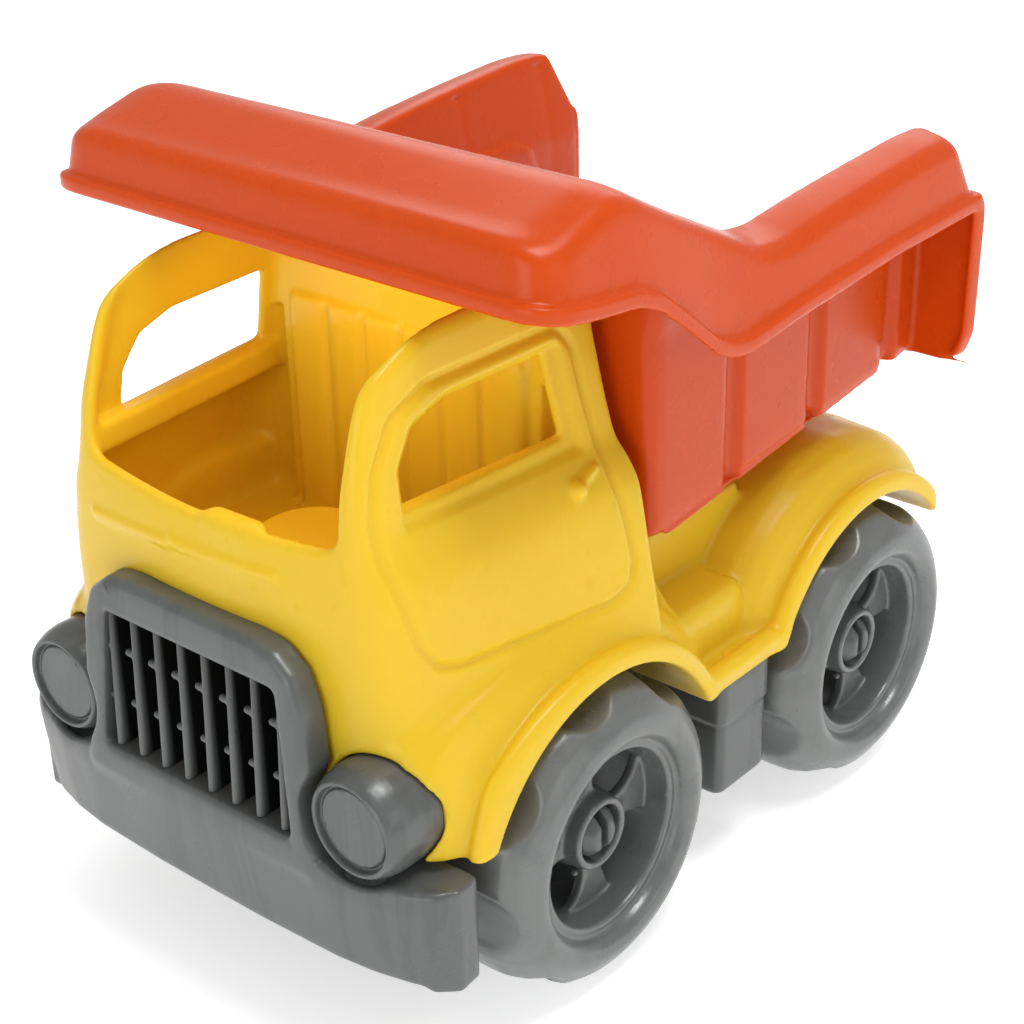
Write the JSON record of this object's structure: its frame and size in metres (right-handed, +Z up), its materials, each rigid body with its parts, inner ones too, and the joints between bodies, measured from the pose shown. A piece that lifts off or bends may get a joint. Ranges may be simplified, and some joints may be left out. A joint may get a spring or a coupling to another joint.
{
  "type": "toy dump truck",
  "caption": "Moulded plastic toy dump truck with an open cab, a tipping bed whose canopy reaches over the cab, and freely rolling wheels.",
  "frame": {"origin": "centre of the ground footprint of the whole truck", "axes": "+Z up, -Y towards the front of the truck, +X towards its left side"},
  "size_m": [0.167, 0.2362, 0.2159],
  "materials": {
    "orange_plastic": "semi-gloss moulded",
    "yellow_plastic": "semi-gloss moulded",
    "grey_plastic": "satin moulded with flow streaks",
    "grey_wheel_plastic": "satin moulded, slightly pearly",
    "dark_grey_plastic": "satin moulded",
    "screw_steel": "zinc plated"
  },
  "bodies": {
    "chassis": {"chassis": "dark_grey_plastic", "front_fascia": "grey_plastic", "grille_insert": "grey_plastic", "headlight_left": "grey_plastic", "headlight_right": "grey_plastic", "step_box_left": "grey_plastic", "step_box_right": "grey_plastic", "cab_shell": "yellow_plastic", "seat": "yellow_plastic", "front_axle": "dark_grey_plastic", "rear_axle": "dark_grey_plastic", "hinge_pin_left": "dark_grey_plastic", "hinge_pin_right": "dark_grey_plastic", "body_screws": "screw_steel", "fascia_screws": "screw_steel"},
    "bed": {"dump_bed": "orange_plastic"},
    "wheel_front_left": {"wheel_front_left": "grey_wheel_plastic", "wheel_back_front_left": "dark_grey_plastic"},
    "wheel_front_right": {"wheel_front_right": "grey_wheel_plastic", "wheel_back_front_right": "dark_grey_plastic"},
    "wheel_rear_left": {"wheel_rear_left": "grey_wheel_plastic", "wheel_back_rear_left": "dark_grey_plastic"},
    "wheel_rear_right": {"wheel_rear_right": "grey_wheel_plastic", "wheel_back_rear_right": "dark_grey_plastic"}
  },
  "joints": [
    {"name": "bed_tilt", "type": "hinge", "parent": "chassis", "child": "bed", "pos_m": [0, 0.1006, 0.104], "axis": [-1, 0, 0], "range_deg": [0, 50]},
    {"name": "front_left_wheel_spin", "type": "hinge", "parent": "chassis", "child": "wheel_front_left", "pos_m": [0.064, -0.0474, 0.043], "axis": [1, 0, 0], "continuous": true},
    {"name": "front_right_wheel_spin", "type": "hinge", "parent": "chassis", "child": "wheel_front_right", "pos_m": [-0.064, -0.0474, 0.043], "axis": [1, 0, 0], "continuous": true},
    {"name": "rear_left_wheel_spin", "type": "hinge", "parent": "chassis", "child": "wheel_rear_left", "pos_m": [0.064, 0.0751, 0.043], "axis": [1, 0, 0], "continuous": true},
    {"name": "rear_right_wheel_spin", "type": "hinge", "parent": "chassis", "child": "wheel_rear_right", "pos_m": [-0.064, 0.0751, 0.043], "axis": [1, 0, 0], "continuous": true}
  ]
}
